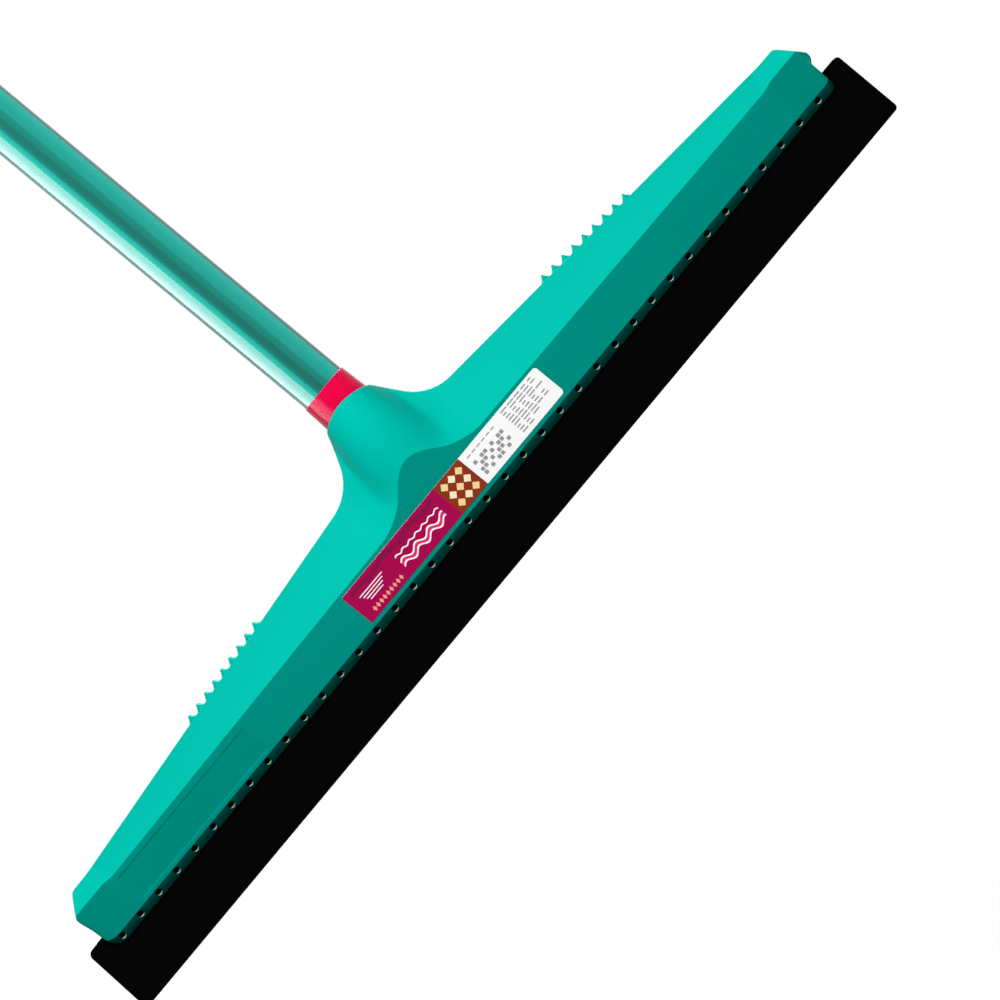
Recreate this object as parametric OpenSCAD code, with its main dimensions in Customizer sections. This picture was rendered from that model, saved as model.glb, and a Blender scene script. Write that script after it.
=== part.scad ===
// Floor squeegee: a moulded head that grips a front and a rear foam blade, on a sleeved steel
// handle whose threaded tip screws into the head's socket. X runs along the head, the handle
// points up, the front is at -Y, and the blades stand on Z = 0. Sizes are in millimetres.

/* [Blades] */
// Length of each blade
blade_l = 550; // [545:1:700]
// Thickness of the foam strip
blade_t = 4.5; // [3:0.1:6]
// How far the blades reach below the head
blade_reach = 27.7; // [20:0.1:40]
// Depth of the blades inside their slots
blade_grip = 9.8; // [7:0.1:12]
// Clear distance between the two blades
blade_gap = 21.4; // [18:0.1:28]
// Corner radius at the ends of the blades
blade_corner_r = 1.5; // [0.5:0.1:3]

/* [Head] */
// Length of the head along its lips
head_l = 528; // [470:1:540]
// Flat width of the lower edge of each lip
lip_w = 0.8; // [0.5:0.1:1.5]
// Height of the bevel above the lip's edge
bevel_h = 4.5; // [4.2:0.1:6]
// How far the bevel leans out from the lip's edge
bevel_out = 2.9; // [2:0.1:4]
// Height of the front face from the bevel to the crease, at the middle
face_h = 22.8; // [20:0.1:30]
// Overhang of the front face, in degrees from upright
face_tilt = 11; // [8:0.5:14]
// Lean of the roof planes, in degrees from upright
roof_tilt = 27; // [22:0.5:30]
// How far each roof plane falls back from the middle to the end of an arm
arm_sweep = 1.9; // [0.2:0.1:3]
// Height of the arms' ridge above the crease, carried on to the middle
ridge_mid_h = 29.4; // [26:0.1:33]
// Height of the arms' ridge above the crease, at the end blocks
ridge_end_h = 8; // [7:0.1:12]
// Wall thickness of the moulding
wall = 2.7; // [1.8:0.1:3]

/* [End blocks] */
// Length of each end block
end_l = 25; // [22:0.5:36]
// Height of the end block above the middle's crease
end_h = 7.3; // [5.5:0.1:9]
// Distance from the nose's tip back to the end block's top corner
end_run = 9; // [8:0.1:14]
// Lean of the end block's roof, in degrees from upright
end_tilt = 44; // [38:1:48]
// How far the end block's crease stands proud of the face
end_proud = 0.7; // [0.3:0.1:1.5]
// Radius of the round nose across the end wall
nose_r = 4; // [3:0.1:5]
// How far the nose reaches past the lips
nose_out = 2; // [1:0.1:3]
// Height of the nose's centre below the end block's top
nose_drop = 12.9; // [10:0.1:16]
// Size of the head's corners, round from the front and cut off from above
corner_r = 3.5; // [1.5:0.1:4]

/* [Socket] */
// Height of the socket's rim above the crease
socket_h = 56.9; // [50:0.1:65]
// Radius of the crowned rim, seen from the front
crown_r = 30; // [25:1:45]
// Slope of the socket's flanks, in degrees from level
flank_angle = 61; // [57:1:66]
// Radius between a flank and the ridge
flare_r = 26; // [18:1:32]
// Height of the arch that the socket's cone cuts into the front face, above the crease
arch_h = 14.8; // [12:0.1:17]
// Half width of the swell that blends the cone into the roof
swell_w = 36; // [30:1:45]
// How far the swell stands out of the roof
swell = 8.5; // [6:0.1:10]
// Wall around the collar at the rim
rim_wall = 0.8; // [0.6:0.1:1.5]

/* [Cloth teeth] */
// Number of teeth on each arm
teeth_n = 9; // [5:1:12]
// Spacing of the teeth
teeth_pitch = 6.7; // [5:0.1:7.5]
// Height of the teeth
teeth_h = 3; // [2:0.1:3.2]
// Distance from the handle's axis to the middle of a row
teeth_x = 133; // [110:1:150]
// Length of each tooth from front to rear
teeth_w = 22; // [14:1:24]
// Width of a tooth at its foot
tooth_foot = 5.6; // [3:0.1:6]
// Width of a tooth at its tip
tooth_tip = 0.8; // [0.4:0.1:1.5]

/* [Lip windows] */
// Diameter of the windows that open onto the blades
window_d = 3.8; // [2.5:0.1:4]
// Spacing of the windows
window_pitch = 13.4; // [8:0.1:20]
// Distance from the handle's axis to the middle of the row, on the left
window_shift = 3; // [0:0.5:6]
// Least distance from a window to the end of the lip
window_margin = 5; // [4:0.5:14]

/* [Stiffening ribs] */
// Thickness of the ribs across the hollow
rib_t = 1.8; // [1.2:0.1:2.4]
// Spacing of the ribs
rib_pitch = 27; // [20:1:40]
// Height of the walls behind the blades, above the blades' top edge
back_wall_h = 7; // [4:0.5:10]

/* [Threaded tip] */
// Outer diameter of the thread
thread_d = 20; // [16:0.1:22]
// Length of the thread below the collar
thread_l = 30; // [24:0.5:34]
// Collar diameter at the handle
collar_d = 26.5; // [26:0.1:27.5]
// Collar diameter inside the socket's rim
collar_rim_d = 27.7; // [27.5:0.1:28.5]
// Height of the collar that shows above the rim
collar_h = 10.8; // [8:0.1:16]
// Depth of the collar inside the rim
collar_sink = 10.9; // [8:0.1:12]
// Length of the plug inside the tube
plug_l = 32; // [20:1:50]
// Chamfer at the ends of the thread and the plugs
lead_in = 1; // [0.5:0.1:2]

/* [Handle] */
// Outer diameter of the steel tube
tube_d = 25; // [22:0.1:25.5]
// Wall thickness of the steel tube
tube_wall = 0.6; // [0.4:0.05:1.2]
// Length of the steel tube
tube_l = 1200; // [900:10:1500]
// Thickness of the plastic sleeve on the tube
sleeve_t = 0.2; // [0.15:0.01:0.4]

/* [Hanging cap] */
// Diameter of the cap's collar
cap_d = 25.2; // [24:0.1:25.4]
// Height of the cap's collar
cap_h = 12; // [8:0.5:20]
// Diameter of the hanging eye
eye_d = 12; // [8:0.5:15]
// Width of the ring around the eye
eye_ring = 5.5; // [4:0.5:8]
// Thickness of the eye
eye_t = 9; // [6:0.5:12]
// Height of the eye's centre above the collar
eye_rise = 17; // [15:0.5:24]
// Length of the cap's plug inside the tube
cap_plug_l = 25; // [15:1:40]

/* [Label] */
// Length of the label on the front face
label_l = 141; // [80:1:160]
// Height of the label
label_h = 18.6; // [12:0.1:19]
// Thickness of the label
label_t = 0.12; // [0.08:0.01:0.2]
// Corner radius of the label
label_corner_r = 2; // [0.5:0.1:4]

/* [Moulded panel] */
// Length of the bare panel on the left arm
panel_l = 92; // [40:1:110]
// Height of the panel
panel_h = 17; // [10:0.1:18]
// Depth of the panel
panel_depth = 0.3; // [0.2:0.05:0.6]
// Distance from the panel to the end block
panel_gap = 1.5; // [1:0.1:20]

/* [Fits] */
// Clearance around each blade in its slot
blade_fit = 0.1; // [0.05:0.01:0.2]
// Radial clearance of the thread in its bore
thread_fit = 0.1; // [0.05:0.01:0.15]
// Radial clearance of the collar in the rim
collar_fit = 0.3; // [0.3:0.05:0.5]
// Gap under the collar's shoulder
seat_fit = 0.05; // [0.02:0.01:0.1]
// Radial clearance of a plug in the tube
plug_fit = 0.05; // [0.03:0.01:0.08]
// Radial clearance between sleeve and tube
sleeve_fit = 0.02; // [0.01:0.01:0.05]

/* [Hidden] */
$fn = 96;

// Margin that carries a cut past the surface it opens
over = 1;
// Room beyond the head on every side, for half spaces
reach = 40;
// How far the cone's rim reaches past the socket's flanks, which cut it
rim_over = 0.15;
// Depth at which the end block's slope enters the nose
slope_sink = 0.1;

// Heights, counted from the floor
lip_z = blade_reach;
blade_h = blade_reach + blade_grip;
bevel_z = lip_z + bevel_h;
crease_z = bevel_z + face_h;
rim_z = crease_z + socket_h;
seat_z = rim_z - collar_sink;
tube_z = rim_z + collar_h;
cap_z = tube_z + tube_l;
top_z = rim_z + reach;

// Depths, counted from the middle plane
blade_in_y = blade_gap / 2;
blade_out_y = blade_in_y + blade_t;
slot_in_y = blade_in_y - blade_fit;
slot_out_y = blade_out_y + blade_fit;
lip_y = slot_out_y + lip_w;
bevel_y = lip_y + bevel_out;
crease_y = bevel_y + face_h * tan(face_tilt);
far_y = crease_y + reach;

// Lengths, counted from the handle's axis
lip_x = head_l / 2;
arm_x = lip_x - end_l;
nose_x = lip_x + nose_out;
far_x = nose_x + reach;

// The socket's bores and the cone that leaves the rim's wall around them
thread_r = thread_d / 2;
bore_r = thread_r + thread_fit;
mouth_r = collar_rim_d / 2 + collar_fit;
rim_r = mouth_r + rim_wall;
bore_z = seat_z - thread_l - over;
shoulder_z = rim_z - crown_r + sqrt(crown_r * crown_r - rim_r * rim_r);
cone_r = rim_r + rim_over;
cone_spread = (face_y(crease_z + arch_h) - cone_r) / (shoulder_z - crease_z - arch_h);

// The ridge falls in a straight line from the middle to the end blocks
ridge_slope = atan((ridge_mid_h - ridge_end_h) / arm_x);
end_crease_z = crease_z - arm_sweep / (tan(face_tilt) + tan(roof_tilt));
end_crease_y = face_y(end_crease_z) + end_proud;
end_z = crease_z + end_h;

// The end block's outer slope runs straight from its top corner into the round nose
end_corner_x = nose_x - end_run;
nose_z = end_z - nose_drop;
nose_centre = [nose_x - nose_r, nose_z];
nose_lead = [end_corner_x, end_z] - nose_centre;
slope_r = nose_r - slope_sink;
nose_turn = atan2(nose_lead[1], nose_lead[0]) - acos(slope_r / norm(nose_lead));
nose_touch = nose_centre + slope_r * [cos(nose_turn), sin(nose_turn)];

// Bores and walls of the tube
tube_r = tube_d / 2;
tube_in_r = tube_r - tube_wall;
plug_r = tube_in_r - plug_fit;
sleeve_in_r = tube_r + sleeve_fit;
sleeve_r = sleeve_in_r + sleeve_t;

// Depth of the front face and of the roof plane at a height
function face_y(z) = crease_y + (z - crease_z) * tan(face_tilt);
function roof_y(z) = crease_y - (z - crease_z) * tan(roof_tilt);

// Height of the ridge at a distance from the middle
function ridge_z(x) = crease_z + ridge_mid_h - x * tan(ridge_slope);

// Rounded swell across the roof, 1 at the middle and 0 from its edge
function swell_at(x) = (1 + cos(180 * x / swell_w)) / 2;

// Draw a shape as it is and mirrored left to right, or front to rear
module both_ends() {
    children();
    mirror([1, 0, 0]) children();
}

module both_sides() {
    children();
    mirror([0, 1, 0]) children();
}

// Turn a front view in X and Z, or a side view in Y and Z, into a solid
module from_front(depth) {
    rotate([90, 0, 0]) linear_extrude(2 * depth, center = true) children();
}

module from_side(x0, x1) {
    translate([x0, 0, 0]) rotate([90, 0, 90]) linear_extrude(x1 - x0) children();
}

// Rectangle about the origin with round corners
module round_plate(w, h, r) {
    square([w - 2 * r, h], center = true);
    square([w, h - 2 * r], center = true);
    for (x = [-1, 1], y = [-1, 1])
        translate([x * (w / 2 - r), y * (h / 2 - r)]) circle(r);
}

// Right half of an arm seen from the front, drawn in by a wall
module arm_view(inset) {
    drop = inset / cos(ridge_slope);
    polygon([
        [-over, inset > 0 ? 0 : lip_z],
        [lip_x - max(inset, corner_r), inset > 0 ? 0 : lip_z],
        [lip_x - max(inset, corner_r), lip_z + corner_r],
        [lip_x - inset, lip_z + corner_r],
        [lip_x - inset, nose_z],
        nose_touch - inset * [cos(nose_turn), sin(nose_turn)],
        [end_corner_x - inset / 2, end_z - inset],
        [arm_x + corner_r, end_z - inset],
        [arm_x, ridge_z(arm_x) - drop],
        [-over, ridge_z(-over) - drop]
    ]);
}

// Right half of the socket seen from the front: a flank that flares into the ridge
module socket_view(inset) {
    r = flare_r + inset;
    turn = flank_angle - ridge_slope;
    flank_x = rim_r - inset / sin(flank_angle);
    root_x = (shoulder_z + flank_x * tan(flank_angle) - ridge_z(0) + inset / cos(ridge_slope))
        / (tan(flank_angle) - tan(ridge_slope));
    root_z = ridge_z(root_x) - inset / cos(ridge_slope);
    tangent = r * tan(turn / 2);
    flank_touch = [root_x - tangent * cos(flank_angle), root_z + tangent * sin(flank_angle)];
    ridge_touch = [root_x + tangent * cos(ridge_slope), root_z - tangent * sin(ridge_slope)];
    centre = ridge_touch + r * [sin(ridge_slope), cos(ridge_slope)];
    top = inset > 0 ? seat_z - inset : rim_z;
    top_x = flank_x + (shoulder_z - top) / tan(flank_angle);
    difference() {
        polygon([
            [-over, crease_z], [root_x, crease_z], [root_x, root_z],
            inset > 0 ? [top_x, top] : [flank_x, shoulder_z],
            inset > 0 ? [top_x, top] : [flank_x, rim_z + over],
            [-over, inset > 0 ? top : rim_z + over]
        ]);
        if (inset == 0) difference() {
            translate([-2 * over, shoulder_z - over]) square([rim_r + 3 * over, reach]);
            translate([0, rim_z - crown_r]) circle(crown_r);
        }
    }
    difference() {
        polygon([[root_x, root_z], flank_touch, centre, ridge_touch]);
        translate(centre) circle(r);
    }
}

// Right half of the head seen from the front, with the round nose at its end
module head_view() {
    arm_view(0);
    socket_view(0);
    translate([lip_x - corner_r, lip_z + corner_r]) circle(corner_r);
    translate(nose_centre) circle(nose_r);
}

// Section through lip, bevel and front face, carried up to the top
module face_section() {
    half = [
        [lip_y, lip_z], [bevel_y, bevel_z], [face_y(top_z), top_z]
    ];
    polygon(concat(half, [for (i = [len(half) - 1:-1:0]) [-half[i][0], half[i][1]]]));
}

// Section through an end block
module end_section() {
    half = [
        [lip_y, lip_z], [bevel_y, bevel_z], [end_crease_y, end_crease_z],
        [end_crease_y - (end_z + over - end_crease_z) * tan(end_tilt), end_z + over]
    ];
    polygon(concat(half, [for (i = [len(half) - 1:-1:0]) [-half[i][0], half[i][1]]]));
}

// The head seen from above, with its corners cut off
module plan_view() {
    cut = corner_r + 2 * over;
    x = nose_x + over;
    y = end_crease_y + over;
    polygon([
        [x, cut - y], [x, y - cut], [x - cut, y], [cut - x, y],
        [-x, y - cut], [-x, cut - y], [cut - x, -y], [x - cut, -y]
    ]);
}

// Section of the hollow: as wide as the slots at the lips, wider above the blades
module hollow_section() {
    slope_z = blade_h + wall;
    half = [
        [slot_out_y, 0], [slot_out_y, slope_z],
        [face_y(slope_z + wall) - wall, slope_z + wall], [face_y(top_z) - wall, top_z]
    ];
    polygon(concat(half, [for (i = [len(half) - 1:-1:0]) [-half[i][0], half[i][1]]]));
}

// Everything behind one front roof plane, swept back towards the end of the right arm
module behind_roof(inset) {
    shift = inset / cos(roof_tilt);
    rotate([0, 0, atan(arm_sweep / arm_x)])
        from_side(-over, arm_x + reach)
            polygon([
                [-roof_y(0) + shift, 0], [far_y, 0],
                [far_y, top_z], [-roof_y(top_z) + shift, top_z]
            ]);
}

// The space between the front and rear roof planes of both arms
module roof(inset) {
    both_ends() intersection() {
        behind_roof(inset);
        mirror([0, 1, 0]) behind_roof(inset);
    }
}

// The socket's cone around the handle's axis, round up to the rim
module cone(inset) {
    foot_z = bevel_z + over;
    drop = shoulder_z - foot_z;
    translate([0, 0, foot_z])
        cylinder(r1 = cone_r + drop * cone_spread - inset, r2 = cone_r - inset, h = drop);
    translate([0, 0, shoulder_z]) cylinder(r = cone_r - inset, h = reach);
}

// The swell that runs up the roof on both sides of the cone, on the front and the rear
module swells(inset) {
    steps = 24;
    both_sides()
        translate([0, -crease_y, crease_z])
            rotate([-roof_tilt, 0, 0])
                translate([0, inset, -reach])
                    linear_extrude(socket_h + 2 * reach)
                        polygon(concat(
                            [for (i = [-steps:steps])
                                let (x = swell_w * i / steps)
                                [x, -swell * cos(roof_tilt) * swell_at(x)]],
                            [[swell_w, bevel_y / 2], [-swell_w, bevel_y / 2]]
                        ));
}

// Outer form of the head: front view, section and plan, cut to one another
module head_form() {
    intersection() {
        from_front(far_y) both_ends() head_view();
        union() {
            intersection() {
                from_side(-arm_x, arm_x) face_section();
                union() {
                    roof(0);
                    swells(0);
                    cone(0);
                }
            }
            intersection() {
                both_ends() from_side(arm_x, far_x) end_section();
                linear_extrude(top_z) plan_view();
            }
        }
    }
}

// The hollow under the roof, open at the bottom
module head_hollow() {
    intersection() {
        from_front(far_y) both_ends() {
            arm_view(wall);
            socket_view(wall);
        }
        from_side(-far_x, far_x) hollow_section();
        union() {
            roof(wall);
            swells(wall);
            cone(wall);
        }
    }
}

// Ribs across the hollow, the walls behind the blades and the socket's inner tube
module head_stiffeners() {
    last = floor((lip_x - wall - rib_pitch / 2) / rib_pitch);
    rib_top = rim_z - lip_z;
    both_ends() for (i = [1:last]) translate([i * rib_pitch - rib_t / 2, 0, 0]) {
        translate([0, -far_y, blade_h + blade_fit]) cube([rib_t, 2 * far_y, rib_top]);
        translate([0, -slot_in_y, bevel_z]) cube([rib_t, 2 * slot_in_y, rib_top]);
    }
    both_sides() translate([-lip_x, slot_in_y - wall, lip_z + wall])
        cube([2 * lip_x, wall, blade_grip + back_wall_h]);
    translate([0, 0, bore_z - wall]) cylinder(r = bore_r + wall, h = rim_z - bore_z);
}

// Half width of a cloth tooth at a share of its height: hollow flanks from foot to tip
function tooth_half(t) = tooth_tip / 2 + (tooth_foot - tooth_tip) / 2 * pow(1 - t, 1.4);

// One row of cloth teeth across the arm's top, laid along the ridge
module teeth_row() {
    steps = 5;
    flank = [for (i = [0:steps]) [tooth_half(i / steps), teeth_h * i / steps]];
    outline = concat(
        [[tooth_foot / 2, -over]], flank,
        [for (i = [steps:-1:0]) [-flank[i][0], flank[i][1]]], [[-tooth_foot / 2, -over]]
    );
    translate([teeth_x, 0, ridge_z(teeth_x)])
        rotate([0, ridge_slope, 0])
            for (i = [0:teeth_n - 1])
                translate([(i - (teeth_n - 1) / 2) * teeth_pitch, 0, 0])
                    from_front(teeth_w / 2) polygon(outline);
}

// Row of round windows through the front lip, square to the bevel
module lip_windows() {
    lean = atan(bevel_out / bevel_h);
    last = floor((lip_x - window_margin - window_shift) / window_pitch);
    depth = 2 * (bevel_y - slot_out_y);
    for (i = [-last:last])
        translate([i * window_pitch - window_shift, -(lip_y + bevel_y) / 2, (lip_z + bevel_z) / 2])
            rotate([90 + lean, 0, 0])
                translate([0, 0, -depth]) cylinder(d = window_d, h = depth + over, $fn = 32);
}

// Put a drawing flat on the front face, with its centre at a place along the head
module on_front_face(x) {
    z = (bevel_z + crease_z) / 2;
    translate([x, -face_y(z), z]) rotate([90 + face_tilt, 0, 0]) children();
}

module head() {
    color("darkturquoise")
        difference() {
            union() {
                difference() {
                    head_form();
                    difference() {
                        head_hollow();
                        head_stiffeners();
                    }
                }
                both_ends() teeth_row();
            }
            both_sides() translate([-far_x, slot_in_y, 0])
                cube([2 * far_x, slot_out_y - slot_in_y, blade_h + blade_fit]);
            translate([0, 0, bore_z]) cylinder(r = bore_r, h = top_z - bore_z);
            translate([0, 0, seat_z]) cylinder(r = mouth_r, h = top_z - seat_z);
            both_sides() lip_windows();
            on_front_face(panel_gap + panel_l / 2 - arm_x) translate([0, 0, -panel_depth])
                linear_extrude(panel_depth + over) square([panel_l, panel_h], center = true);
        }
}

module blade() {
    translate([0, blade_out_y, blade_h / 2]) rotate([90, 0, 0])
        linear_extrude(blade_t) round_plate(blade_l, blade_h, blade_corner_r);
}

module front_blade() {
    color("black") mirror([0, 1, 0]) blade();
}

module rear_blade() {
    color("black") blade();
}

module threaded_tip() {
    color("deeppink") rotate_extrude() polygon([
        [0, seat_z - thread_l], [thread_r - lead_in, seat_z - thread_l],
        [thread_r, seat_z - thread_l + lead_in], [thread_r, seat_z + seat_fit],
        [collar_rim_d / 2, seat_z + seat_fit], [collar_rim_d / 2, shoulder_z],
        [collar_d / 2, tube_z], [plug_r, tube_z],
        [plug_r, tube_z + plug_l - lead_in], [plug_r - lead_in, tube_z + plug_l],
        [0, tube_z + plug_l]
    ]);
}

module handle_tube() {
    color("silver") translate([0, 0, tube_z]) difference() {
        cylinder(r = tube_r, h = tube_l);
        translate([0, 0, -over]) cylinder(r = tube_in_r, h = tube_l + 2 * over);
    }
}

module handle_sleeve() {
    color("lightseagreen") translate([0, 0, tube_z]) difference() {
        cylinder(r = sleeve_r, h = tube_l);
        translate([0, 0, -over]) cylinder(r = sleeve_in_r, h = tube_l + 2 * over);
    }
}

module hanging_cap() {
    eye_r = eye_d / 2;
    ring_r = eye_r + eye_ring;
    foot_z = cap_z + cap_h;
    eye_z = foot_z + eye_rise;
    neck_z = eye_z - eye_r - over;
    color("deeppink") difference() {
        union() {
            rotate_extrude() polygon([
                [0, cap_z - cap_plug_l], [plug_r - lead_in, cap_z - cap_plug_l],
                [plug_r, cap_z - cap_plug_l + lead_in], [plug_r, cap_z],
                [cap_d / 2, cap_z], [cap_d / 2, foot_z], [eye_t / 2, neck_z], [0, neck_z]
            ]);
            from_front(eye_t / 2) {
                translate([0, eye_z]) circle(ring_r);
                translate([-ring_r, foot_z - over]) square([2 * ring_r, eye_rise + over]);
            }
        }
        translate([0, 0, eye_z]) rotate([90, 0, 0])
            cylinder(r = eye_r, h = cap_d + 2 * over, center = true);
    }
}

module label() {
    color("mediumvioletred") on_front_face(0)
        linear_extrude(label_t) round_plate(label_l, label_h, label_corner_r);
}

head();
front_blade();
rear_blade();
threaded_tip();
handle_tube();
handle_sleeve();
hanging_cap();
label();
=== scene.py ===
"""Floor squeegee on a white studio floor: moulded head, two foam blades, paper label, screw-in handle."""

import math

import bmesh
import bpy
from mathutils import Matrix, Vector


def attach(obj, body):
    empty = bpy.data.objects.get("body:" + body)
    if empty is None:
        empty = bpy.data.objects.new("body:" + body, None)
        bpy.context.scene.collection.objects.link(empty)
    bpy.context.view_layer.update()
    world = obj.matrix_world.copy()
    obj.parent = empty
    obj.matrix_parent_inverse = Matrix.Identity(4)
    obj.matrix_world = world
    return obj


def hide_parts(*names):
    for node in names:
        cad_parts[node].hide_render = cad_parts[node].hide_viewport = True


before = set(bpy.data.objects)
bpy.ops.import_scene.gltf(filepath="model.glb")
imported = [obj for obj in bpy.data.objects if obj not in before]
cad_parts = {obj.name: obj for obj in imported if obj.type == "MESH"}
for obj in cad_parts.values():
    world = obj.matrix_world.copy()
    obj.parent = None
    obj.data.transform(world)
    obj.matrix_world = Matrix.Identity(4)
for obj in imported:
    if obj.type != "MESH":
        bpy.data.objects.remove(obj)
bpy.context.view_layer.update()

# The head: one hollow beam of polypropylene, injection moulded and teal right through. Its long sides
# lean out to a crease and back in over the roof, the handle's socket is a cone that flows out into the
# roof and cuts an arch into the face, and each end is a short block with a round nose. Sizes are in mm.
LIP_X = 264.0
LIP_Y = 15.75
LIP_Z = 28.2
LIP_R = 0.35
BEVEL_Y = 19.0
BEVEL_Z = 32.7
BEVEL_R = 1.1
BEVEL_BULGE = 0.12
CREASE_Y = 23.43
CREASE_Z = 55.6
CREASE_R = 2.2
FACE_ANGLE = math.radians(11)
FACE_LEAN = math.tan(FACE_ANGLE)
ROOF_LEAN = math.tan(math.radians(27))
ROOF_SAG = 0.018
SAG_X = (40.0, 80.0)
ARM_X = 239.0
ARM_SWEEP = 2.2
RIDGE_Z = 84.4
RIDGE_FALL = 21.4 / ARM_X
RIM_Z = 111.9
RIM_R = 14.95
RIM_SOFT = 0.5
CROWN_R = 30.0
FLANK = math.radians(61)
FLARE_R = 26.0
CONE_SPREAD = 0.285
CONE_SOFT = 1.2
SWELL = 8.5
SWELL_W = 36.0
VALLEY = 2.8
VALLEY_X = (34.0, 78.0)
VALLEY_Z = (54.0, 73.0)
TOP_EDGE_X = (16.0, 34.0)
TOP_EDGE_RIM_R = 0.5
TOP_EDGE_ARM_R = 1.8
TOP_EDGE_DROP = 0.4
BLOCK_X = (ARM_X - 2, ARM_X + 6)
BLOCK_Z = 62.3
BLOCK_LEAN = math.tan(math.radians(36.5))
BLOCK_PROUD = 0.7
BLOCK_RISE = 1.05
BLOCK_STEP_SOFT = 0.15
BLOCK_END_SOFT = 0.8
CORNER_X_LEFT = 257.4
CORNER_X_RIGHT = 256.4
END_LEFT = 1.3
END_RIGHT = 1.5
NOSE_FROM_X = 254.0
NOSE_X = 261.0
NOSE_Z = 48.0
NOSE_R = 4.0
NOSE_SOFT = 0.15
NOSE_LEFT = 1.4
NOSE_LEFT_Z = (42.0, 50.0)
LIP_LEFT = 0.65
LIP_SHORT = 1.4
PLAN_R = 0.8
PLAN_FADE_Y = 10.0
CORNER_LEFT = 7.0
CORNER_RIGHT = 4.2
BELLY_STEPS = 6
FACE_STEPS = 26
ROOF_STEPS = 12
ARC_STEPS = 6


def ease(start, end, x):
    """0 before start, 1 after end, and a smooth step between them."""
    t = min(max((x - start) / (end - start), 0.0), 1.0)
    return t * t * (3 - 2 * t)


def soft_min(a, b, width):
    """The smaller of two heights, rounded where they meet."""
    return min(a, b) - width * math.log1p(math.exp(-abs(a - b) / width))


def end_slope(x):
    """How steeply the outline falls at the end that x is near, and where it starts to fall."""
    return (END_LEFT, CORNER_X_LEFT) if x < 0 else (END_RIGHT, CORNER_X_RIGHT)


def head_top(x):
    """Height of the head's outline at x, seen from the front."""
    steep, corner = end_slope(x)
    x = abs(x)
    crown = RIM_Z - CROWN_R + math.sqrt(max(CROWN_R ** 2 - x ** 2, 0.0))
    shoulder = RIM_Z - CROWN_R + math.sqrt(CROWN_R ** 2 - RIM_R ** 2)
    fall = math.atan(RIDGE_FALL)
    root_x = (shoulder + RIM_R * math.tan(FLANK) - RIDGE_Z) / (math.tan(FLANK) - RIDGE_FALL)
    root_z = RIDGE_Z - root_x * RIDGE_FALL
    touch = FLARE_R * math.tan((FLANK - fall) / 2)
    centre_x = root_x + touch * math.cos(fall) + FLARE_R * math.sin(fall)
    centre_z = root_z - touch * math.sin(fall) + FLARE_R * math.cos(fall)
    if x < root_x - touch * math.cos(FLANK):
        return soft_min(crown, shoulder - (x - RIM_R) * math.tan(FLANK), RIM_SOFT)
    if x < root_x + touch * math.cos(fall):
        return centre_z - math.sqrt(FLARE_R ** 2 - (centre_x - x) ** 2)
    ridge = RIDGE_Z - x * RIDGE_FALL
    slope = BLOCK_Z - (x - corner) * steep
    return soft_min(-soft_min(-ridge, -BLOCK_Z, BLOCK_STEP_SOFT), slope, BLOCK_END_SOFT)


def swell_at(x, z):
    """How far the socket's cone and the swell beside it, which sinks to a valley, leave the roof plane."""
    side = SWELL * (1 + math.cos(math.pi * min(abs(x) / SWELL_W, 1))) / 2
    side -= VALLEY * ease(*VALLEY_Z, z) * (1 - ease(*VALLEY_X, abs(x)))
    cone_r = RIM_R + (RIM_Z - z) * CONE_SPREAD
    cone = math.sqrt(max(cone_r ** 2 - x ** 2, 0.0)) - (CREASE_Y - (z - CREASE_Z) * ROOF_LEAN)
    return -soft_min(-cone, -side, CONE_SOFT)


def rounded(points, radii, steps):
    """A path through points whose corners with a radius become arcs of a fixed number of steps."""
    path = []
    for i, (point, radius) in enumerate(zip(points, radii)):
        if not radius:
            path.append(point)
            continue
        here = Vector(point)
        back = Vector(points[i - 1]) - here
        on = Vector(points[i + 1]) - here
        turn = math.pi - back.angle(on, math.pi)
        reach = min(radius * math.tan(turn / 2), 0.45 * back.length, 0.45 * on.length)
        start = here + back.normalized() * reach
        end = here + on.normalized() * reach
        for k in range(steps + 1):
            t = k / steps
            path.append(tuple(start * (1 - t) ** 2 + here * 2 * t * (1 - t) + end * t ** 2))
    return path


def between(a, b, count):
    """Points on the line from a to b, without its ends and closer together near them."""
    shares = [(1 - math.cos(math.pi * (i + 1) / (count + 1))) / 2 for i in range(count)]
    return [(a[0] + (b[0] - a[0]) * s, a[1] + (b[1] - a[1]) * s) for s in shares]


def corner_cut(far, radius):
    """How much a round corner at the head's end takes away at a distance from the middle."""
    into = max(far - (LIP_X - radius), 0.0)
    return radius - math.sqrt(max(radius ** 2 - into ** 2, 0.0))


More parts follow.
